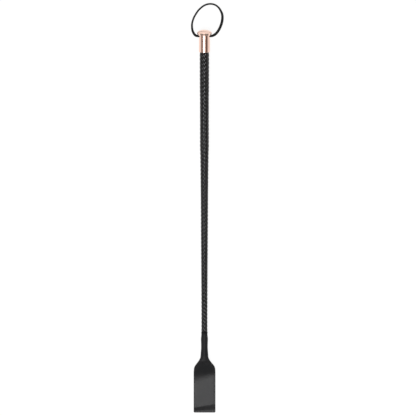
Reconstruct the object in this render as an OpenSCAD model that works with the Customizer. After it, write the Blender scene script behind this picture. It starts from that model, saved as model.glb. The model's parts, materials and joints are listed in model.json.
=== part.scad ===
// Riding crop, lying flat as it would on a table.
// +X runs along the crop from the cap to the tip of the flap, and +Z is up.
// The origin is under the middle of the crop, on the surface that it lies on.
// A station is a distance along the crop, measured from the crown of the cap.

/* [Overall] */
// Length from the crown of the cap to the tip of the flap
crop_length = 611.5; // [590:0.5:700]

/* [Cap] */
// Largest diameter of the domed head
head_d = 24; // [22:0.5:28]
// Height of the head, from its crown to where it meets the ferrule
head_h = 8.8; // [8.6:0.1:11]
// Height of the dome above the widest part of the head
dome_h = 5; // [4.6:0.1:5.4]
// Diameter of the head's lower end, round the ferrule
collar_d = 20.6; // [20:0.1:21.2]
// Depth of the socket in the head that takes the end of the ferrule
socket_h = 4.6; // [3:0.1:5]
// Outside diameter of the ferrule
ferrule_d = 17.5; // [17.2:0.1:19]
// Wall thickness of the ferrule
ferrule_wall = 1.2; // [0.8:0.1:1.2]
// Length of ferrule that shows below the head
ferrule_show = 26.6; // [24:0.2:40]

/* [Loop] */
// Width of the leather lace that makes the loop
lace_w = 4.2; // [3:0.1:4.2]
// Thickness of the lace
lace_t = 2.1; // [1.5:0.1:3]
// Diameter of the hole across the cap that the lace turns in
lace_hole_d = 4.4; // [4.3:0.1:4.6]
// Diameter of the sleeve that joins the two ends of the lace
crimp_d = 6; // [5:0.1:6.4]
// Length of that sleeve
crimp_l = 8; // [6:0.5:11]

/* [Shaft] */
// Diameter of the plaiting where it leaves the ferrule
grip_d = 14.4; // [13.8:0.1:14.4]
// Diameter of the plaiting halfway down the grip
waist_d = 13.9; // [13.2:0.1:14.2]
// Diameter of the plaiting at the lower end of the grip
grip_low_d = 13.4; // [13:0.1:14]
// Diameter of the plaiting just below the grip
shaft_d = 12.4; // [11.6:0.1:12.6]
// Diameter of the plaiting at the thin end of the shaft
thin_d = 8.8; // [8.4:0.1:9.2]
// Diameter of the plaiting where its ends are tied down
tied_d = 9.2; // [8.8:0.1:9.6]
// Thickness of the plaiting, two crossing layers of leather strand
plait_t = 2.1; // [1.6:0.1:2.1]
// Station of the lower end of the grip
grip_end = 185; // [160:5:200]
// Length of the step down from the grip to the shaft
step_l = 14; // [10:1:60]

/* [Flap] */
// Length of the flap, from the end of its neck to its tip
flap_l = 88.5; // [80:0.5:110]
// Width of the flap
flap_w = 34; // [28:0.2:40]
// Thickness of the flap, two layers of leather glued together
flap_t = 3.2; // [2.4:0.1:3.6]
// Length over which the pressed fold thins out to the tip of the flap
nose_l = 10; // [5:0.5:12]
// Length of the neck of leather that grips the end of the rod
neck_l = 40; // [30:1:45]
// Width of the ring of thread at the top of the neck
ring_w = 2.6; // [2:0.1:4]

/* [Hidden] */
$fn = 72;

gold = "#e3b19e";
black = "#26262a";
axis_z = head_d / 2;                        // height of the crop's axis: the head's rim touches the surface

// Stations along the crop
lace_s = head_h + 1.3;                      // centre of the hole for the lace, cut partly through the head
butt_s = lace_s + crimp_d / 2 + 2.6;        // butt end of the rod, clear of the sleeve on the lace
mouth_s = head_h + ferrule_show;            // lower end of the ferrule
waist_s = (mouth_s + grip_end) / 2;
shaft_s = grip_end + step_l;
neck_end_s = crop_length - flap_l;
neck_s = neck_end_s - neck_l;
plait_end_s = neck_s - ring_w;
thin_s = plait_end_s - 30;
tied_s = plait_end_s - 14;

// Diameters inside the plaiting
rod_d = shaft_d - 2 * plait_t;
rod_tip_d = 3.2;
rod_tip_s = neck_end_s - 3;
filler_edge_d = rod_d + 0.2;                // the filler's feathered lower edge
filler_end_s = shaft_s - 3;
tied_strand_d = 7.2;                        // over the strand ends that are tied to the rod
ring_d = 9.4;                               // the ring of thread at its two edges
ring_bulge = 0.4;                           // how far the middle of the ring stands out
tied_strand_s = neck_s + 17;
binding_s = butt_s + 1;                     // thread round the butt of the plaiting
binding_end_s = mouth_s - 2;

// The flap bends about this line, just beyond the rod and the neck
root_r = 4;
flex_gap = 0.3;
hinge_s = neck_end_s + root_r + flex_gap;
thin_leaf_s = neck_end_s + 25;              // where the rolled leather has flattened out
flat_s = neck_end_s + 34;                   // from here to the tip the flap lies flat
nose_s = crop_length - nose_l;              // from here the fold thins out

// Outside of the neck: it swells over the rod's tip and again towards the flap
neck_outer = [[neck_s, 9.3], [neck_s + 3, 9.5], [neck_s + 8, 10.5], [neck_s + 12, 10.5], [neck_s + 18, 10.2],
              [neck_s + 24, 10.2], [neck_end_s - 4, 11.8], [neck_end_s, 12.8]];

// Half the width of the flap down its sloping shoulders
shoulder = [[neck_end_s, 6.1], [hinge_s, 9.2], [neck_end_s + 13, flap_w / 2 - 1.8],
            [neck_end_s + 16, flap_w / 2 - 0.6], [neck_end_s + 22, flap_w / 2]];

// Route of the lace from the sleeve, out of the hole on the -Y side, round and back into the other side.
// Each point is [distance towards -X, Y, height], and the last number turns the lace's width up from level.
loop_route = [
    [0, -4, 12, 45],
    [0, -11, 12, 45],
    [0.5, -13.2, 12, 40],
    [1.8, -15.2, 11.5, 40],
    [4.8, -17.3, 10, 45],
    [8.6, -19.1, 7.5, 55],
    [14, -19.6, 5, 65],
    [19, -19.6, 3, 70],
    [24, -18.1, 2.2, 70],
    [28, -16.7, 2.1, 70],
    [32.5, -14.2, 2.1, 70],
    [36.5, -11.8, 2.1, 70],
    [40.5, -8.8, 2.1, 70],
    [44, -4.9, 2.1, 70],
    [47.5, -0.4, 2.1, 70],
    [49.5, 5, 2.1, 70],
    [50, 11, 2.1, 70],
    [48.5, 16.9, 2.1, 75],
    [45, 21.8, 2.1, 70],
    [40, 25.2, 2.1, 60],
    [35, 27.7, 2.1, 45],
    [29.5, 28.6, 2.1, 35],
    [24, 28.2, 2.2, 25],
    [19.2, 27.2, 3, 15],
    [15, 25.7, 4.5, 10],
    [11, 23.8, 6, 5],
    [7, 21.4, 8, 0],
    [4, 18.7, 10, 10],
    [1.8, 16, 11.5, 25],
    [0.6, 13.2, 12, 40],
    [0, 11, 12, 45],
    [0, 4, 12, 45]];
lace_sides = 8;

// A round solid about the crop's axis. Each point of its outline is [station, diameter].
module lathe(outline) {
    translate([-crop_length / 2, 0, axis_z])
        rotate([0, 90, 0])
            rotate_extrude()
                polygon([for (p = outline) [p[1] / 2, p[0]]]);
}

// The outline of a sleeve between an outer and an inner profile, each listed from the cap to the tip
function sleeve(outer, inner) = concat(outer, [for (i = [len(inner) - 1:-1:0]) inner[i]]);

// Diameter of a profile at a station
function at(profile, s) = lookup(s, profile);

rod_profile = [[butt_s, rod_d], [shaft_s, rod_d], [rod_tip_s, rod_tip_d]];
plait_outer = [[butt_s, grip_d - 0.3], [mouth_s, grip_d], [waist_s, waist_d], [grip_end, grip_low_d],
               [shaft_s, shaft_d], [thin_s, thin_d], [tied_s, thin_d], [plait_end_s, tied_d]];
filler_outer = concat([for (i = [0:3]) [plait_outer[i][0], plait_outer[i][1] - 2 * plait_t]],
                      [[filler_end_s, filler_edge_d]]);
plait_inner = concat(filler_outer, [[shaft_s, rod_d], [plait_end_s, at(rod_profile, plait_end_s)]]);

// The hole right across the cap that the lace goes through
module lace_hole() {
    translate([lace_s - crop_length / 2, 0, axis_z])
        rotate([90, 0, 0])
            cylinder(d = lace_hole_d, h = head_d + 2, center = true);
}

// Domed head: an elliptical dome, an underside that slopes in to a collar, a socket for the ferrule,
// and the upper part of the hole for the lace
module cap_head() {
    steps = 16;
    full_h = 6.5;                           // the dome is this much of half an ellipse, cut off at dome_h
    rim = 0.5;
    last = acos(1 - dome_h / full_h);
    dome = [for (i = [0:steps]) let (a = last * i / steps)
            [full_h * (1 - cos(a)), head_d * sin(a) / sin(last)]];
    under = [[dome_h + rim, head_d - rim / 2], [head_h - rim, collar_d + rim / 2], [head_h, collar_d - rim]];
    color(gold)
        difference() {
            lathe(concat(dome, under, [[head_h, ferrule_d], [socket_h, ferrule_d], [socket_h, 0]]));
            lace_hole();
        }
}

// Ferrule: a plain tube whose top is held in the head, with one hole right across it for the lace
module ferrule() {
    bore_d = ferrule_d - 2 * ferrule_wall;
    color(gold)
        difference() {
            lathe([[socket_h, ferrule_d], [mouth_s, ferrule_d], [mouth_s, bore_d], [socket_h, bore_d]]);
            lace_hole();
        }
}

// One ring of the lace: an ellipse across the route, its long side turned up from level
function unit(v) = v / norm(v);
function route_point(p) = [lace_s - crop_length / 2 - p[0], p[1], p[2]];
function lace_ring(i) =
    let (last = len(loop_route) - 1,
         here = route_point(loop_route[i]),
         ahead = unit(route_point(loop_route[min(i + 1, last)]) - route_point(loop_route[max(i - 1, 0)])),
         side = unit(cross([0, 0, 1], ahead)),
         up = cross(ahead, side),
         turn = loop_route[i][3],
         wide = side * cos(turn) + up * sin(turn),
         thin = up * cos(turn) - side * sin(turn))
    [for (k = [0:lace_sides - 1]) let (a = 360 * k / lace_sides)
     here + wide * cos(a) * lace_w / 2 + thin * sin(a) * lace_t / 2];

// Leather lace, one tube swept along the route
module loop_cord() {
    rings = len(loop_route);
    n = lace_sides;
    points = [for (i = [0:rings - 1]) each lace_ring(i)];
    walls = [for (i = [0:rings - 2]) for (k = [0:n - 1])
             [i * n + k, i * n + (k + 1) % n, (i + 1) * n + (k + 1) % n, (i + 1) * n + k]];
    start = [for (k = [n - 1:-1:0]) k];
    end = [for (k = [0:n - 1]) (rings - 1) * n + k];
    color(black)
        polyhedron(points, concat([start], walls, [end]));
}

// Sleeve pressed on the two ends of the lace, inside the ferrule
module loop_crimp() {
    color("#b8bcc0")
        translate([lace_s - crop_length / 2, 0, axis_z])
            rotate([90, 0, 0])
                cylinder(d = crimp_d, h = crimp_l, center = true);
}

// Tapered fibreglass rod, the spine of the crop
module core_rod() {
    color("#d8d2b8")
        lathe(concat([[butt_s, 0]], rod_profile, [[rod_tip_s, 0]]));
}

// Wound underlay that thickens the rod into a grip
module handle_filler() {
    color("#b79a6c")
        lathe(sleeve(filler_outer, [[butt_s, rod_d], [filler_end_s, rod_d]]));
}

// Plaited leather cover over the grip and the shaft
module braided_cover() {
    color(black)
        lathe(sleeve(plait_outer, plait_inner));
}

// Waxed thread wound round the butt of the plaiting, glued inside the ferrule
module butt_binding() {
    thread_d = ferrule_d - 2 * ferrule_wall;
    color("#3a3632")
        lathe(sleeve([[binding_s, thread_d], [binding_end_s, thread_d]],
                     [[binding_s, at(plait_outer, binding_s)], [binding_end_s, at(plait_outer, binding_end_s)]]));
}

// Waxed thread that ties the strand ends down to the rod, under the neck
module tip_binding() {
    color("#3a3632")
        lathe(sleeve([[plait_end_s, tied_strand_d], [tied_strand_s, tied_strand_d]],
                     [[plait_end_s, at(rod_profile, plait_end_s)], [tied_strand_s, at(rod_profile, tied_strand_s)]]));
}

// Ring of thread that covers the joint between the plaiting and the neck
module neck_ring() {
    steps = 8;
    crown = [for (i = [0:steps]) let (a = 180 * i / steps)
             [plait_end_s + ring_w * (1 - cos(a)) / 2, ring_d + 2 * ring_bulge * sin(a)]];
    color("#1c1c1e")
        lathe(sleeve(crown, [[plait_end_s, tied_strand_d], [neck_s, tied_strand_d]]));
}

// Neck: the two ends of the flap's leather, rolled round the rod
module flap_neck() {
    inner = [[neck_s, tied_strand_d], [tied_strand_s, tied_strand_d],
             [tied_strand_s, at(rod_profile, tied_strand_s)], [rod_tip_s, rod_tip_d], [rod_tip_s, 0]];
    color(black)
        lathe(sleeve(concat(neck_outer, [[neck_end_s, 0]]), inner));
}

// Smooth change from 1 before station a to 0 after station b
function ease(s, a, b) = s <= a ? 1 : s >= b ? 0 : (1 + cos(180 * (s - a) / (b - a))) / 2;
function blade_bottom(s) = (axis_z - root_r) * ease(s, hinge_s, flat_s);
function blade_thickness(s) = flap_t + (2 * root_r - flap_t) * ease(s, hinge_s, thin_leaf_s);

// Side view of the blade beyond the hinge line: an easy curve down, flat, and a pressed fold at the tip
module blade_side() {
    steps = 18;
    edge_r = 0.8;
    run = [for (i = [0:steps]) hinge_s + (flat_s - hinge_s) * i / steps];
    edge = [for (a = [0:15:75]) [crop_length - edge_r * (1 - sin(a)), edge_r * (1 - cos(a))]];
    nose = [for (a = [0:10:90]) [nose_s + nose_l * cos(a), edge_r + (flap_t - edge_r) * sin(a)]];
    bottom = [for (s = run) [s, blade_bottom(s)]];
    top = [for (s = run) [s, blade_bottom(s) + blade_thickness(s)]];
    polygon(concat(bottom, edge, nose, [for (i = [len(top) - 1:-1:0]) top[i]]));
}

// Plan view of the blade: sloping shoulders, straight sides and a square tip
module blade_plan() {
    half = flap_w / 2;
    corner = 1.2;
    side = concat(shoulder, [[crop_length - corner, half], [crop_length, half - corner]]);
    polygon(concat(side, [for (i = [len(side) - 1:-1:0]) [side[i][0], -side[i][1]]]));
}

// Flap: one strip of leather folded double at the tip, with a round root on the hinge line
module flap_blade() {
    color(black)
        translate([-crop_length / 2, 0, 0])
            intersection() {
                union() {
                    translate([hinge_s, 0, axis_z])
                        rotate([90, 0, 0])
                            cylinder(r = root_r, h = flap_w, center = true);
                    rotate([90, 0, 0])
                        linear_extrude(height = flap_w + 2, center = true)
                            blade_side();
                }
                linear_extrude(height = head_d)
                    blade_plan();
            }
}

cap_head();
ferrule();
loop_cord();
loop_crimp();
core_rod();
handle_filler();
braided_cover();
butt_binding();
tip_binding();
neck_ring();
flap_neck();
flap_blade();
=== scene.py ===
# Riding crop: the looks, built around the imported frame. Metres, in the frame's own axes.
import json
import math

import bmesh
import bpy
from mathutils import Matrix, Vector


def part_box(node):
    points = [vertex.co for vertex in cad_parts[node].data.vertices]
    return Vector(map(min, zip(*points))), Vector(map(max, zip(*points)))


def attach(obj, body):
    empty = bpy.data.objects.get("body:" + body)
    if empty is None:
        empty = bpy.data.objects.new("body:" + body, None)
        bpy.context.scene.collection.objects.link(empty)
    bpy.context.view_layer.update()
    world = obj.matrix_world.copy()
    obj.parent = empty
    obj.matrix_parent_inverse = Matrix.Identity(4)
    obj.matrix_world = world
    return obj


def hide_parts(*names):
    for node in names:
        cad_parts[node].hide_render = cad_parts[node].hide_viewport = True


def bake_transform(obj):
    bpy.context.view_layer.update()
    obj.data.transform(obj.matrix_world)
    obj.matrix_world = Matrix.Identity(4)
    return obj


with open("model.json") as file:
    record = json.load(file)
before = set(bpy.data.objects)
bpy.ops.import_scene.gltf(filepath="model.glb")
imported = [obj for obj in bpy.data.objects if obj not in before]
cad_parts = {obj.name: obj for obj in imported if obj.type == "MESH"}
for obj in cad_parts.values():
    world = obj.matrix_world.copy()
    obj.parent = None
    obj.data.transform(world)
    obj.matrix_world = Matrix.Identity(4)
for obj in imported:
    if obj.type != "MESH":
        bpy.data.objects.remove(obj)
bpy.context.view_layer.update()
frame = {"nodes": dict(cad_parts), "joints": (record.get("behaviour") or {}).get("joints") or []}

MM = 0.001

# ---------------------------------------------------------------- places, from the frame

# A station is a distance along the crop from its crown, the top of the cap.
# The head's rim rests on the floor.
crown_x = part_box("cap_head")[0][0]
axis_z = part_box("cap_head")[1][2] / 2
head_r = axis_z
ferrule_r = (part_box("ferrule")[1][1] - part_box("ferrule")[0][1]) / 2
ferrule_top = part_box("ferrule")[0][0] - crown_x
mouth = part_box("ferrule")[1][0] - crown_x
head_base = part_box("cap_head")[1][0] - crown_x
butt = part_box("braided_cover")[0][0] - crown_x
plait_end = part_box("braided_cover")[1][0] - crown_x
ring_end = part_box("neck_ring")[1][0] - crown_x
neck_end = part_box("flap_neck")[1][0] - crown_x
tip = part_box("flap_blade")[1][0] - crown_x
ferrule_bore_r = (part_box("butt_binding")[1][1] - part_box("butt_binding")[0][1]) / 2
swing = next(j for j in frame["joints"] if j["name"] == "loop_swing")
lace_x = swing["pos_m"][0]
HOLE_R = 2.2 * MM              # the hole across the cap, for the lace


# ---------------------------------------------------------------- camera

VIEW_WIDTH = 655.9 * MM        # at the height of the crop's axis
CAMERA_AWAY = 20.0             # metres
TILT = math.radians(8)         # the camera stands this far from straight above, towards the cap
VIEW_X = -22.4 * MM            # the middle of the view, along and across the crop
VIEW_Y = 5.65 * MM


def make_camera():
    """Looks down from far off, a little from the cap's side, with the cap at the top of the picture."""
    data = bpy.data.cameras.new("camera")
    data.sensor_width = 36
    data.lens = data.sensor_width * CAMERA_AWAY / VIEW_WIDTH
    camera = bpy.data.objects.new("camera", data)
    bpy.context.scene.collection.objects.link(camera)
    camera.location = (
        VIEW_X - CAMERA_AWAY * math.sin(TILT),
        VIEW_Y,
        axis_z + CAMERA_AWAY * math.cos(TILT),
    )
    camera.rotation_euler = (-TILT, 0, math.radians(90))
    bpy.context.scene.camera = camera


make_camera()


# ---------------------------------------------------------------- node materials

class Shader:
    """A material's node tree, with short calls for the nodes that the materials below share."""

    def __init__(self, name):
        self.material = bpy.data.materials.new(name)
        self.material.use_nodes = True
        self.nodes = self.material.node_tree.nodes
        self.links = self.material.node_tree.links
        self.bsdf = self.nodes["Principled BSDF"]
        self.place = self.nodes.new("ShaderNodeTexCoord").outputs["Object"]

    def put(self, socket, value):
        """Links value to the socket if it comes from a node, and sets it there if it's plain."""
        if isinstance(value, bpy.types.NodeSocket):
            self.links.new(value, socket)
        else:
            socket.default_value = value

    def set(self, **values):
        """Puts each value on the Principled shader's socket of that name."""
        for name, value in values.items():
            self.put(self.bsdf.inputs[name.replace("_", " ")], value)

    def along(self):
        """Distance along the crop."""
        node = self.nodes.new("ShaderNodeSeparateXYZ")
        self.links.new(self.place, node.inputs["Vector"])
        return node.outputs["X"]

    def stretched(self, scale):
        """The place, scaled by (x, y, z), so that what is drawn on it is stretched the other way."""
        node = self.nodes.new("ShaderNodeMapping")
        node.inputs["Scale"].default_value = scale
        self.links.new(self.place, node.inputs["Vector"])
        return node.outputs["Vector"]

    def noise(self, scale, detail=3.0, roughness=0.5, vector=None):
        node = self.nodes.new("ShaderNodeTexNoise")
        self.links.new(vector or self.place, node.inputs["Vector"])
        node.inputs["Scale"].default_value = scale
        node.inputs["Detail"].default_value = detail
        node.inputs["Roughness"].default_value = roughness
        return node.outputs["Fac"]

    def cells(self, scale, vector=None):
        node = self.nodes.new("ShaderNodeTexVoronoi")
        node.feature = "SMOOTH_F1"
        self.links.new(vector or self.place, node.inputs["Vector"])
        node.inputs["Scale"].default_value = scale
        node.inputs["Smoothness"].default_value = 0.5
        return node.outputs["Distance"]

    def stripes(self, scale, distortion):
        """Bands across the crop. A scale of 1 makes them 2 pi / 20 metres apart."""
        node = self.nodes.new("ShaderNodeTexWave")
        node.bands_direction = "X"
        self.links.new(self.place, node.inputs["Vector"])
        node.inputs["Scale"].default_value = scale
        node.inputs["Distortion"].default_value = distortion
        return node.outputs["Fac"]

    def spread(self, value, low, high, out_low, out_high):
        """Maps value from low..high to out_low..out_high."""
        node = self.nodes.new("ShaderNodeMapRange")
        self.put(node.inputs["Value"], value)
        ends = {"From Min": low, "From Max": high, "To Min": out_low, "To Max": out_high}
        for name, number in ends.items():
            node.inputs[name].default_value = number
        return node.outputs["Result"]

    def sum(self, a, b, weight):
        """a + b * weight."""
        node = self.nodes.new("ShaderNodeMath")
        node.operation = "MULTIPLY_ADD"
        self.put(node.inputs[0], b)
        node.inputs[1].default_value = weight
        self.put(node.inputs[2], a)
        return node.outputs[0]

    def mix(self, fac, a, b):
        """Colour a where fac is 0, and b where it's 1."""
        node = self.nodes.new("ShaderNodeMix")
        node.data_type = "RGBA"
        self.put(node.inputs["Factor"], fac)
        node.inputs["A"].default_value = (*a, 1)
        node.inputs["B"].default_value = (*b, 1)
        return node.outputs["Result"]

    def bump(self, height, strength, distance):
        node = self.nodes.new("ShaderNodeBump")
        node.inputs["Strength"].default_value = strength
        node.inputs["Distance"].default_value = distance
        self.links.new(height, node.inputs["Height"])
        self.set(Normal=node.outputs["Normal"], Coat_Normal=node.outputs["Normal"])


def leather(name, dark, light, rough, gloss, grain, depth, polish=None):
    """Dyed black leather: pebbled grain, small pores and patchy dye. gloss sets how much it reflects.
    polish is (weight, start, end): a coat of wax that sets in between those two places along X."""
    s = Shader(name)
    pebbles = s.cells(grain, s.stretched((0.8, 1.15, 1)))
    pores = s.noise(grain * 2.6, 2.0)
    patches = s.noise(60, 4.0, 0.6)
    s.set(
        Base_Color=s.mix(s.spread(patches, 0.35, 0.7, 0, 1), dark, light),
        Roughness=s.spread(s.sum(patches, pores, 0.5), 0.5, 1.0, rough - 0.05, rough + 0.07),
        Specular_IOR_Level=gloss,
        Specular_Tint=(0.94, 0.97, 1, 1),
    )
    if polish:
        weight, start, end = polish
        s.set(Coat_Weight=s.spread(s.along(), start, end, 0, weight), Coat_Roughness=rough)
    s.bump(s.sum(pebbles, pores, 0.35), 0.35, depth)
    return s.material


def rose_gold():
    """Polished plate: faint wipe marks and a slightly uneven tint."""
    s = Shader("rose_gold")
    wipes = s.noise(220, 3.0, 0.55, s.stretched((1, 0.25, 0.25)))
    tint = s.noise(45, 2.0)
    s.set(
        Base_Color=s.mix(
            s.spread(tint, 0.35, 0.65, 0, 1), (0.90, 0.625, 0.515), (0.94, 0.68, 0.575)
        ),
        Metallic=1.0,
        Roughness=s.spread(wipes, 0.3, 0.7, 0.035, 0.075),
    )
    s.bump(wipes, 0.01, 0.00001)
    return s.material


def thread(name, dark, light, pitch):
    """Dull waxed thread wound round and round, seen as close turns."""
    s = Shader(name)
    turns = s.stripes(2 * math.pi / (20 * pitch), 0.4)
    fibres = s.noise(2600, 2.0, 0.5, s.stretched((0.3, 1, 1)))
    s.set(
        Base_Color=s.mix(s.spread(fibres, 0.3, 0.7, 0, 1), dark, light),
        Roughness=s.spread(fibres, 0.3, 0.7, 0.45, 0.62),
        Specular_IOR_Level=0.12,
    )
    s.bump(s.sum(turns, fibres, 0.2), 0.6, 0.0002)
    return s.material


def fibreglass():
    """Drawn rod: fine streaks of fibre along its length under resin."""
    s = Shader("fibreglass")
    streaks = s.noise(900, 4.0, 0.6, s.stretched((0.02, 1, 1)))
    s.set(
        Base_Color=s.mix(
            s.spread(streaks, 0.35, 0.65, 0, 1), (0.030, 0.030, 0.027), (0.075, 0.072, 0.060)
        ),
        Roughness=s.spread(streaks, 0.3, 0.7, 0.3, 0.5),
    )
    s.bump(streaks, 0.3, 0.0001)
    return s.material


def wound_filler():
    """Dark waxed paper cord wound over the rod."""
    s = Shader("wound_filler")
    turns = s.stripes(35, 0.6)
    fibres = s.noise(1500, 3.0)
    s.set(
        Base_Color=s.mix(
            s.spread(fibres, 0.3, 0.7, 0, 1), (0.012, 0.010, 0.008), (0.035, 0.028, 0.02)
        ),
        Roughness=s.spread(fibres, 0.3, 0.7, 0.7, 0.9),
    )
    s.bump(s.sum(turns, fibres, 0.3), 0.7, 0.0004)
    return s.material


def crimp_metal():
    """Plain drawn aluminium with fine lengthwise lines."""
    s = Shader("crimp_metal")
    lines = s.noise(1800, 3.0, 0.6, s.stretched((1, 0.05, 1)))
    s.set(
        Base_Color=s.mix(s.spread(lines, 0.3, 0.7, 0, 1), (0.62, 0.63, 0.64), (0.75, 0.76, 0.77)),
        Metallic=1.0,
        Roughness=s.spread(lines, 0.3, 0.7, 0.28, 0.42),
    )
    s.bump(lines, 0.2, 0.00005)
    return s.material


def floor_paper():
    """Pale seamless paper with a trace of tooth, lit from below so that shadows on it stay faint."""
    s = Shader("floor_paper")
    tooth = s.noise(300, 3.0)
    s.set(
        Base_Color=s.mix(s.spread(tooth, 0.3, 0.7, 0, 1), (0.10, 0.10, 0.10), (0.11, 0.11, 0.11)),
        Roughness=0.9,
        Specular_IOR_Level=0.1,
        Emission_Color=(1, 1, 1, 1),
        Emission_Strength=0.90,
    )
    return s.material


THREAD_PITCH = 0.5 * MM        # distance from one turn of thread to the next

lace_leather = leather(
    "lace_leather", dark=(0.005, 0.005, 0.005), light=(0.009, 0.009, 0.009),
    rough=0.5, gloss=0.15, grain=2600, depth=0.08 * MM)
strand_leather = leather(
    "strand_leather", dark=(0.003, 0.003, 0.003), light=(0.006, 0.005, 0.006),
    rough=0.18, gloss=0.38, grain=2400, depth=0.05 * MM)
flap_leather = leather(
    "flap_leather", dark=(0.012, 0.0125, 0.0135), light=(0.017, 0.0165, 0.0175),
    rough=0.34, gloss=0.04, grain=1700, depth=0.1 * MM,
    polish=(0.26, crown_x + neck_end - 6 * MM, crown_x + neck_end + 12 * MM))
gold = rose_gold()
ring_thread = thread("ring_thread", (0.004, 0.004, 0.005), (0.010, 0.010, 0.011), THREAD_PITCH)


# ---------------------------------------------------------------- mesh helpers

def smooth_between(value, low, high):
    """0 before low, 1 after high, and an easy curve between them."""
    t = min(max((value - low) / (high - low), 0), 1)
    return t * t * (3 - 2 * t)


def lerp(a, b, t):
    return a + (b - a) * t


def profile(points, s):
    """Value of a profile of [station, value] points at station s, straight between them."""
    if s <= points[0][0]:
        return points[0][1]
    for (s0, v0), (s1, v1) in zip(points, points[1:]):
        if s <= s1:
            return lerp(v0, v1, (s - s0) / (s1 - s0))
    return points[-1][1]


def mesh_object(name, verts, faces, material, body):
    """A smooth-shaded mesh that rides on a CAD body."""
    mesh = bpy.data.meshes.new(name)
    mesh.from_pydata([tuple(v) for v in verts], [], faces)
    mesh.materials.append(material)
    obj = bpy.data.objects.new(name, mesh)
    bpy.context.scene.collection.objects.link(obj)
    tidy = bmesh.new()
    tidy.from_mesh(mesh)
    bmesh.ops.recalc_face_normals(tidy, faces=tidy.faces)
    tidy.to_mesh(mesh)
    tidy.free()
    mesh.shade_smooth()
    if body:
        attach(obj, body)
    return obj


def tube_faces(rings, sides, closed=False):
    """Quads between rings of sides points each, with a cap on each end unless the tube is closed."""
    faces = []
    for i in range(rings if closed else rings - 1):
        j = (i + 1) % rings
        for k in range(sides):
            n = (k + 1) % sides
            faces.append((i * sides + k, i * sides + n, j * sides + n, j * sides + k))
    if not closed:
        faces.append(tuple(reversed(range(sides))))
        faces.append(tuple((rings - 1) * sides + k for k in range(sides)))
    return faces


def on_axis(station, radius, angle):
    """A point round the crop's axis; angle is turned from straight up towards +Y."""
    return Vector((crown_x + station, radius * math.sin(angle), axis_z + radius * math.cos(angle)))


# ---------------------------------------------------------------- lace loop

# The CAD's own route, in millimetres: distance from the hole towards -X, then Y and height.
# The last number is how many degrees the lace is turned there.
LOOP_ROUTE = [
    (0, -4, 12, 45), (0, -11, 12, 45), (0.5, -13.2, 12, 40), (1.8, -15.2, 11.5, 40), (4.8, -17.3, 10, 45),
    (8.6, -19.1, 7.5, 55), (14, -19.6, 5, 65), (19, -19.6, 3, 70), (24, -18.1, 2.2, 70),
    (28, -16.7, 2.1, 70), (32.5, -14.2, 2.1, 70), (36.5, -11.8, 2.1, 70), (40.5, -8.8, 2.1, 70),
    (44, -4.9, 2.1, 70), (47.5, -0.4, 2.1, 70), (49.5, 5, 2.1, 70), (50, 11, 2.1, 70),
    (48.5, 16.9, 2.1, 75), (45, 21.8, 2.1, 70), (40, 25.2, 2.1, 60), (35, 27.7, 2.1, 45),
    (29.5, 28.6, 2.1, 35), (24, 28.2, 2.2, 25), (19.2, 27.2, 3, 15), (15, 25.7, 4.5, 10),
    (11, 23.8, 6, 5), (7, 21.4, 8, 0), (4, 18.7, 10, 10), (1.8, 16, 11.5, 25), (0.6, 13.2, 12, 40),
    (0, 11, 12, 45), (0, 4, 12, 45)]
LACE_WIDTH = 4.2 * MM
LACE_THICKNESS = 2.6 * MM      # at the CAD's 2.1 mm it looks thinner than the photo's
LACE_SQUARENESS = 2.6          # of its section: at 2 it would be an ellipse


def b_spline(p0, p1, p2, p3, t):
    """Point of a smooth curve that runs close by p1 and p2, component by component."""
    weights = (
        (1 - t) ** 3,
        3 * t ** 3 - 6 * t ** 2 + 4,
        -3 * t ** 3 + 3 * t ** 2 + 3 * t + 1,
        t ** 3,
    )
    return [sum(w * v for w, v in zip(weights, values)) / 6 for values in zip(p0, p1, p2, p3)]


def smooth_route(points, steps):
    """The route's points eased into a smooth curve, steps to each stretch."""
    route = []
    last = len(points) - 1
    for i in range(last):
        around = [points[min(max(i + k, 0), last)] for k in (-1, 0, 1, 2)]
        route += [b_spline(*around, step / steps) for step in range(steps)]
    return route + [b_spline(points[last - 1], points[last], points[last], points[last], 0)]


def rounded(value):
    """A cosine or sine, changed so that the ellipse it draws has squarer corners."""
    return math.copysign(abs(value) ** (2 / LACE_SQUARENESS), value)


def make_loop():
    """A flat leather lace with rounded edges, swept along its route and turning as it goes."""
    route = smooth_route(LOOP_ROUTE, 8)
    path = [Vector((lace_x - p[0] * MM, p[1] * MM, p[2] * MM)) for p in route]
    sides = 20
    verts = []
    for i, here in enumerate(path):
        ahead = (path[min(i + 1, len(path) - 1)] - path[max(i - 1, 0)]).normalized()
        side = Vector((0, 0, 1)).cross(ahead).normalized()
        up = ahead.cross(side)
        turn = math.radians(route[i][3])
        wide = side * math.cos(turn) + up * math.sin(turn)
        thin = up * math.cos(turn) - side * math.sin(turn)
        for k in range(sides):
            a = 2 * math.pi * k / sides
            across = rounded(math.cos(a))
            through = rounded(math.sin(a))
            verts.append(here + wide * across * LACE_WIDTH / 2 + thin * through * LACE_THICKNESS / 2)
    faces = tube_faces(len(path), sides)
    lace = mesh_object("lace", verts, faces, lace_leather, "loop")
    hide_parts("loop_cord")


make_loop()


# ---------------------------------------------------------------- cap: head and ferrule

def lathe(name, outline, material, body, segments=160):
    """Turns a closed outline of (station, radius) points about the crop's axis, with no radius of 0."""
    verts = [on_axis(s, r, 2 * math.pi * k / segments) for k in range(segments) for s, r in outline]
    faces = tube_faces(segments, len(outline), closed=True)
    return mesh_object(name, verts, faces, material, body)


def arc(station, radius, along, out, start, end, steps):
    """Points of an elliptical arc about (station, radius), with angles in degrees from +X."""
    turns = [math.radians(lerp(start, end, i / steps)) for i in range(steps + 1)]
    return [(station + along * math.cos(a), radius + out * math.sin(a)) for a in turns]


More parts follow.
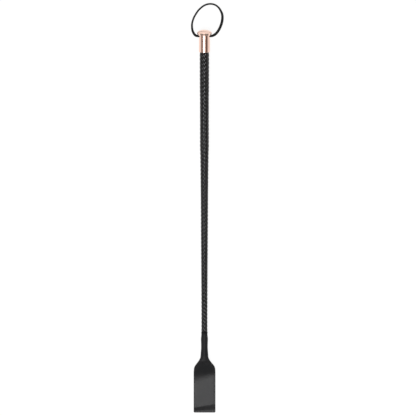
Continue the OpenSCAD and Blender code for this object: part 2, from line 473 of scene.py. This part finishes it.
def bake(obj):
    """Replaces obj's mesh with the result of its modifiers."""
    graph = bpy.context.evaluated_depsgraph_get()
    mesh = bpy.data.meshes.new_from_object(obj.evaluated_get(graph))
    obj.modifiers.clear()
    obj.data = mesh


def cut_lace_hole(obj, steps):
    """Cuts the hole across the cap out of obj; steps are its (Y, radius) from one side to the other."""
    sides = 72
    turns = [2 * math.pi * k / sides for k in range(sides)]
    verts = [(lace_x + r * math.cos(a), y, axis_z + r * math.sin(a)) for y, r in steps for a in turns]
    faces = tube_faces(len(steps), sides)
    cutter = mesh_object("hole_cutter", verts, faces, gold, None)
    cut = obj.modifiers.new("hole", "BOOLEAN")
    cut.operation = "DIFFERENCE"
    cut.solver = "EXACT"
    cut.object = cutter
    bake(obj)
    bpy.data.objects.remove(cutter)


def make_head():
    """Low dome with a soft rim, an underside that slopes in to a collar, and a socket for the ferrule."""
    dome = 5.0 * MM            # height of the dome
    full = 6.5 * MM            # half the thickness of the ellipse that it is the top of
    last = math.acos(1 - dome / full)
    dome_r = head_r - 0.04 * MM  # the dome stops just inside the rim
    dome_steps = 28
    collar_r = 10.3 * MM
    rim = 0.35 * MM            # roundness of the head's edge, and of its collar's
    lip = 0.3 * MM
    slope = 67                 # direction that the underside faces, in degrees from the crop's axis
    under_steps = 16
    centre = 0.02 * MM         # radius of the tiny hole that the outline leaves at the crown
    top = []
    for i in range(dome_steps + 1):
        a = last * i / dome_steps
        top.append((full * (1 - math.cos(a)), max(centre, dome_r * math.sin(a) / math.sin(last))))
    edge = arc(dome + 0.1 * MM, head_r - rim, rim, rim, 100, slope, 6)
    foot = arc(head_base - lip, collar_r - lip, lip, lip, slope, 0, 6)
    under = [
        tuple(lerp(a, b, i / under_steps) for a, b in zip(edge[-1], foot[0]))
        for i in range(1, under_steps)
    ]
    socket = [(head_base, ferrule_r), (ferrule_top, ferrule_r), (ferrule_top, centre)]
    head = lathe("dome_head", top + edge + under + foot + socket, gold, "crop")
    cut_lace_hole(head, [(-head_r, HOLE_R), (head_r, HOLE_R)])
    head.data.set_sharp_from_angle(angle=math.radians(50))
    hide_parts("cap_head")


def make_ferrule():
    """Thin tube with rounded mouth edges and a hole across it whose rim is broken."""
    round_r = 0.35 * MM
    rings = 90
    stations = [lerp(ferrule_top, mouth - round_r, i / rings) for i in range(rings + 1)]
    outside = [(s, ferrule_r) for s in stations]
    lip = arc(mouth - round_r, ferrule_r - round_r, round_r, round_r, 75, 0, 5)
    inner_lip = arc(mouth - round_r, ferrule_bore_r + round_r, round_r, round_r, 0, -90, 5)
    inside = [(s, ferrule_bore_r) for s in reversed(stations[:-1])]
    tube = lathe("ferrule_tube", outside + lip + inner_lip + inside, gold, "crop", 240)
    chamfer = 0.18 * MM
    flare = HOLE_R + chamfer + head_r - ferrule_r
    inner = ferrule_r - chamfer
    cut_lace_hole(tube, [(-head_r, flare), (-inner, HOLE_R), (inner, HOLE_R), (head_r, flare)])
    tube.data.set_sharp_from_angle(angle=math.radians(35))
    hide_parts("ferrule")


make_head()
make_ferrule()


# ---------------------------------------------------------------- plaited cover

STRANDS_EACH_WAY = 8
STRAND_SPACING = 2 * math.pi / STRANDS_EACH_WAY
STRAND_START = 0.25            # where the first strand starts, in spacings from straight up
STRAND_T = 1.05 * MM           # thickness of a strand
STRAND_FILL = 0.985            # share of its spacing that a strand is wide
STRAND_FALL = 0.85             # share of half its thickness that its crown falls by at its edges
WEAVE_SHARPNESS = 1.9          # how fast a strand rises and dips between one crossing and the next
PLAIT_RADIUS = [(butt, 7.1 * MM), (mouth, 7.5 * MM), (96 * MM, 7.4 * MM), (110 * MM, 7.2 * MM),
                (185 * MM, 7.1 * MM), (199 * MM, 6.65 * MM), (262 * MM, 6.0 * MM), (376 * MM, 5.3 * MM),
                (plait_end - 30 * MM, 4.85 * MM), (plait_end, 4.9 * MM)]
STROKE_TOP = 6.5 * MM          # spacing of the strands along the crop, at the ferrule and at the thin end
STROKE_LOW = 6.1 * MM
COLUMN_DRIFT = math.radians(45) / (128 * MM)  # the pattern's own slow turn round the crop
COLUMN_START = 67 * MM         # here a column of strands leaning one way faces straight up


def strand_section():
    """(across, height) of a strand: a round crown, rounded edges and a flat back, both from -1 to 1."""
    places = (-0.9, -0.7, -0.45, -0.2, 0, 0.2, 0.45, 0.7, 0.9)
    crown = [(across, 1 - STRAND_FALL * across * across) for across in places]
    back = [(0.85, -0.85), (0, -0.95), (-0.85, -0.85)]
    return [(-1.0, -0.3)] + crown + [(1.0, -0.3)] + back


def turned(s):
    """How far a strand has turned round the crop at station s."""
    slope = (STROKE_LOW - STROKE_TOP) / (plait_end - butt)
    return STRAND_SPACING / slope * math.log((STROKE_TOP + slope * (s - butt)) / STROKE_TOP)


def make_strand(way, number):
    """One strand, over two and under two of those that run the other way."""
    start = STRAND_SPACING * (number + STRAND_START)
    section = strand_section()
    step = 0.8 * MM
    count = int((plait_end - butt) / step)
    full_lift = math.tanh(WEAVE_SHARPNESS)
    verts = []
    for i in range(count + 1):
        s = lerp(butt + 0.2 * MM, plait_end - 0.1 * MM, i / count)
        stroke = lerp(STROKE_TOP, STROKE_LOW, (s - butt) / (plait_end - butt))
        middle = profile(PLAIT_RADIUS, s) - STRAND_T
        column = start + way * turned(s)
        drift = COLUMN_DRIFT * (s - COLUMN_START)
        wave = math.cos(STRANDS_EACH_WAY / 2 * column)
        lift = math.tanh(WEAVE_SHARPNESS * wave) / full_lift * way
        lean = math.atan(STRAND_SPACING * middle / stroke)
        half_width = 0.5 * STRAND_SPACING * middle * math.cos(lean) * STRAND_FILL
        centre = middle + lift * STRAND_T / 2
        for across, height in section:
            reach = across * half_width
            radius = centre + height * STRAND_T / 2
            angle = column + drift + way * reach * math.cos(lean) / middle
            verts.append(on_axis(s - reach * math.sin(lean), radius, angle))
    name = f"strand_{'right' if way > 0 else 'left'}_{number + 1}"
    faces = tube_faces(count + 1, len(section))
    strand = mesh_object(name, verts, faces, strand_leather, "crop")
    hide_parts("braided_cover")


for strand_number in range(STRANDS_EACH_WAY):
    make_strand(1, strand_number)
    make_strand(-1, strand_number)


# ---------------------------------------------------------------- ring of thread at the neck

def make_ring():
    """Waxed thread wound in close turns over the end of the plaiting."""
    turns = 5
    thread_r = (ring_end - plait_end) / turns / 2
    wound_r = 5.1 * MM - thread_r
    bed_r = 3.6 * MM
    bed_start = plait_end + 0.1 * MM
    bed_end = ring_end - 0.1 * MM
    steps = 60
    sides = 10
    verts = []
    for i in range(turns * steps + 1):
        angle = 2 * math.pi * i / steps
        s = plait_end + thread_r + (ring_end - plait_end - 2 * thread_r) * i / (turns * steps)
        for k in range(sides):
            a = 2 * math.pi * k / sides
            verts.append(on_axis(s + thread_r * math.sin(a), wound_r + thread_r * math.cos(a), angle))
    faces = tube_faces(turns * steps + 1, sides)
    ring = mesh_object("wound_ring", verts, faces, ring_thread, "crop")
    bed_outline = [(bed_start, bed_r), (bed_start, wound_r), (bed_end, wound_r), (bed_end, bed_r)]
    bed = lathe("ring_bed", bed_outline, ring_thread, "crop", 64)
    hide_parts("neck_ring")
    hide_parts("neck_ring")


make_ring()


# ---------------------------------------------------------------- neck and flap, one strip of leather

FLAP_T = 3.2 * MM              # thickness of the two layers
HINGE = neck_end + 4.3 * MM    # here the strip starts to come down
THIN_LEAF = neck_end + 25 * MM  # and here it has its last thickness
FLAT = neck_end + 37 * MM      # from here on it lies flat
SETTLE = 0.66                  # below 1, it comes down faster at first
NOSE = 12 * MM                 # length of the pressed fold
NOSE_SLOPE = 0.8               # share of that length that slopes
NOSE_DROP = 0.5                # share of the thickness lost down the slope, and round its end
NOSE_ROUND = 0.3
END_R = 0.75 * MM              # length of that rounded end
NOSE_LEAN = 0.2                # the fold starts sooner on the +Y side
FLAP_ASIDE = 0.2 * MM          # the flap sits a little to the +Y side
SHEEN_LEAN = 0.3               # the flap settles flat sooner on its +Y side
FULL_LEAN = neck_end + 20 * MM  # from here on the lean and the shift aside are at their full size
SEAM = 0.35 * MM               # depth of the seam between the two layers along the edges
WIDTH_EASE = 1.6 * MM          # how far the corners of the profiles below are rounded off
HEIGHT_EASE = 2.5 * MM
SHARP_FROM = tip - 4 * MM      # past here the corners of the width's profile stay sharp
EDGE_GAIN = 0.2 * MM           # added on each side, as a bright floor makes a dark flap look narrower
flap_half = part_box("flap_blade")[1][1] + EDGE_GAIN

NECK = [(ring_end, 4.8 * MM), (ring_end + 3 * MM, 4.9 * MM), (ring_end + 8 * MM, 5.5 * MM),
        (ring_end + 12 * MM, 5.5 * MM), (ring_end + 18 * MM, 5.25 * MM), (ring_end + 24 * MM, 5.25 * MM)]
HALF_WIDTH = NECK + [
    (neck_end - 4 * MM, 6.1 * MM), (neck_end - 0.5 * MM, 6.5 * MM), (HINGE, 9.2 * MM),
    (neck_end + 13 * MM, flap_half - 1.8 * MM), (neck_end + 16 * MM, flap_half - 0.6 * MM),
    (neck_end + 22 * MM, flap_half), (tip - 1.2 * MM, flap_half), (tip, flap_half - 1.2 * MM)]
HALF_HEIGHT = NECK + [
    (neck_end - 4 * MM, 5.2 * MM), (neck_end, 4.9 * MM), (HINGE, 4.3 * MM),
    (neck_end + 14 * MM, 2.6 * MM), (THIN_LEAF, FLAP_T / 2), (tip, FLAP_T / 2)]


def leaf_points():
    """One layer across, from its +Y edge inwards: (distance in from the edge, share of the thickness)."""
    edge = [(SEAM, 0.0), (0.12 * MM, 0.14), (0.0, 0.38), (0.05 * MM, 0.66), (0.3 * MM, 0.88),
            (0.75 * MM, 0.985), (1.3 * MM, 1.0)]
    crease = [(1.9 * MM, 1.0), (2.25 * MM, 0.96), (2.6 * MM, 1.0)]
    return edge + crease


def softened(points, s, reach):
    """A profile with its corners rounded over reach on each side."""
    samples = 9
    shifts = [reach * (2 * i / (samples - 1) - 1) for i in range(samples)]
    return sum(profile(points, s + shift) for shift in shifts) / samples


def flap_ring(s):
    """Closed ring of points across the neck or the flap at station s: the upper layer, then the lower."""
    half = softened(HALF_WIDTH, s, WIDTH_EASE) if s < SHARP_FROM else profile(HALF_WIDTH, s)
    high = softened(HALF_HEIGHT, s, HEIGHT_EASE)
    flatness = smooth_between(s, neck_end - 6 * MM, neck_end + 17 * MM)  # 0 on the neck, 1 on the flap
    across = leaf_points()
    edge_band = across[-1][0]
    plain_steps = 9
    plain = range(1, plain_steps + 1)
    across += [(lerp(edge_band, flap_half, i / plain_steps), 1.0) for i in plain]
    run = [0.0]
    for (d0, h0), (d1, h1) in zip(across, across[1:]):
        run.append(run[-1] + math.hypot(d1 - d0, (h1 - h0) * FLAP_T / 2))
    quarter = []
    for (d, h), gone in zip(across, run):
        beta = math.pi / 2 * gone / run[-1]
        groove = SEAM * (1 - smooth_between(gone, 0, 0.6 * MM))
        squeeze = (half - edge_band) / (flap_half - edge_band)
        flat_y = half - d if d <= edge_band else (flap_half - d) * squeeze
        quarter.append((lerp((half - groove) * math.cos(beta), flat_y, flatness),
                        lerp((high - groove) * math.sin(beta), high * h, flatness)))
    upper = quarter + [(-y, z) for y, z in reversed(quarter[:-1])]
    return upper[:-1] + [(-y, -z) for y, z in upper[:-1]]


def underside(s, y):
    """Height of the flap's underside: an easy curve down from the neck to the surface it lies on."""
    shifted = s + SHEEN_LEAN * y * smooth_between(s, neck_end, FULL_LEAN)
    down = min(max((shifted - HINGE) / (FLAT - HINGE), 0), 1) ** SETTLE
    start = axis_z - softened(HALF_HEIGHT, HINGE, HEIGHT_EASE)
    return start * (1 + math.cos(math.pi * down)) / 2


def flap_point(s, y, z):
    """Place of a point of the ring at station s, with the fold pressed thin towards the tip."""
    half_t = softened(HALF_HEIGHT, s, HEIGHT_EASE)
    nose = NOSE + NOSE_LEAN * y
    into = min(max((s - tip + nose) / nose, 0), 1)
    end = max(s - tip + END_R, 0) / END_R
    rounding = 1 - math.sqrt(max(1 - end ** 2, 0))
    left = 1 - NOSE_DROP * smooth_between(into, 0, NOSE_SLOPE) - NOSE_ROUND * rounding
    height = axis_z + z if s <= HINGE else underside(s, y) + (z + half_t) * left
    aside = FLAP_ASIDE * smooth_between(s, neck_end, FULL_LEAN)
    return Vector((crown_x + s, y + aside, max(height, 0)))


def make_flap():
    """Neck and flap in one skin, with a pressed fold at the tip."""
    bend_end = neck_end + 26 * MM
    bend_steps = 75
    nose_start = tip - NOSE - 4 * MM
    flat_steps = 40
    nose_steps = 32
    stations = [lerp(ring_end, bend_end, i / bend_steps) for i in range(bend_steps)]
    stations += [lerp(bend_end, nose_start, i / flat_steps) for i in range(flat_steps)]
    quarter_turns = [math.radians(90 * i / nose_steps) for i in range(nose_steps + 1)]
    stations += [lerp(nose_start, tip, math.sin(turn)) for turn in quarter_turns]
    rings = [flap_ring(s) for s in stations]
    verts = [flap_point(s, y, z) for s, ring in zip(stations, rings) for y, z in ring]
    faces = tube_faces(len(stations), len(rings[0]))
    flap = mesh_object("flap_leather", verts, faces, flap_leather, None)
    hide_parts("flap_neck", "flap_blade")
    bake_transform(flap)


make_flap()


# ---------------------------------------------------------------- materials of the CAD pieces that stay

def paint(node, material):
    """Gives a CAD node its material."""
    obj = frame["nodes"][node]
    obj.data.materials.clear()
    obj.data.materials.append(material)


paint("core_rod", fibreglass())
paint("handle_filler", wound_filler())
for end in ("butt", "tip"):
    binding = thread(f"{end}_thread", (0.010, 0.009, 0.008), (0.03, 0.027, 0.024), THREAD_PITCH)
    paint(f"{end}_binding", binding)
paint("loop_crimp", crimp_metal())


# ---------------------------------------------------------------- floor and light

WHITE_CARD = 1.0               # brightness of the card on the -X side
FAR_WALL = 0.30                # and of the wall on the +X side
CARD_FADE = (-0.12, -0.35)     # both fade in as a direction's X goes from the first value to the second
WALL_FADE = (0.35, 0.7)
BROWN = (0.15, 0.105, 0.09)    # the studio's ceiling
# The studio's colour, from the horizon and below, at 0, to straight up, at 1
BANDS = [(0.0, (0.85, 0.85, 0.85)), (0.40, (0.42, 0.40, 0.40)), (0.60, (0.19, 0.145, 0.13)),
         (0.76, BROWN), (1.0, BROWN)]
SOFTBOX = (0.27, -0.26, 1.9)   # place of the softbox, in metres, with its size and its power in watts
SOFTBOX_SIZE = (1.18, 1.14)
SOFTBOX_POWER = 34


def make_floor():
    size = 6
    verts = [(-size, -size, 0), (size, -size, 0), (size, size, 0), (-size, size, 0)]
    mesh = bpy.data.meshes.new("floor")
    mesh.from_pydata(verts, [], [(0, 1, 2, 3)])
    mesh.materials.append(floor_paper())
    floor = bpy.data.objects.new("floor", mesh)
    bpy.context.scene.collection.objects.link(floor)


def make_light(name, place, target, size, power):
    data = bpy.data.lights.new(name, "AREA")
    data.shape = "RECTANGLE"
    data.size, data.size_y = size
    data.energy = power
    light = bpy.data.objects.new(name, data)
    bpy.context.scene.collection.objects.link(light)
    light.location = place
    aim = Vector(target) - Vector(place)
    light.rotation_euler = aim.to_track_quat("-Z", "Y").to_euler()


def make_world():
    """Studio: pale at the horizon and dark overhead, with a white card beyond the cap."""
    world = bpy.data.worlds.new("studio")
    bpy.context.scene.world = world
    world.use_nodes = True
    nodes = world.node_tree.nodes
    links = world.node_tree.links
    coords = nodes.new("ShaderNodeTexCoord")
    split = nodes.new("ShaderNodeSeparateXYZ")
    ramp = nodes.new("ShaderNodeValToRGB")
    links.new(coords.outputs["Generated"], split.inputs["Vector"])
    links.new(split.outputs["Z"], ramp.inputs["Fac"])
    while len(ramp.color_ramp.elements) < len(BANDS):
        ramp.color_ramp.elements.new(0.5)
    for element, (place, colour) in zip(ramp.color_ramp.elements, BANDS):
        element.position = place
        element.color = (*colour, 1)
    colour = ramp.outputs["Color"]
    for (start, end), level in ((CARD_FADE, WHITE_CARD), (WALL_FADE, FAR_WALL)):
        part = nodes.new("ShaderNodeMapRange")
        links.new(split.outputs["X"], part.inputs["Value"])
        part.inputs["From Min"].default_value = start
        part.inputs["From Max"].default_value = end
        mix = nodes.new("ShaderNodeMix")
        mix.data_type = "RGBA"
        links.new(part.outputs["Result"], mix.inputs["Factor"])
        links.new(colour, mix.inputs["A"])
        mix.inputs["B"].default_value = (level, level, level, 1)
        colour = mix.outputs["Result"]
    links.new(colour, nodes["Background"].inputs["Color"])
    nodes["Background"].inputs["Strength"].default_value = 1.0


make_floor()
make_world()
make_light("softbox", SOFTBOX, (SOFTBOX[0], SOFTBOX[1], 0), SOFTBOX_SIZE, SOFTBOX_POWER)
bpy.context.scene.view_settings.view_transform = "Standard"
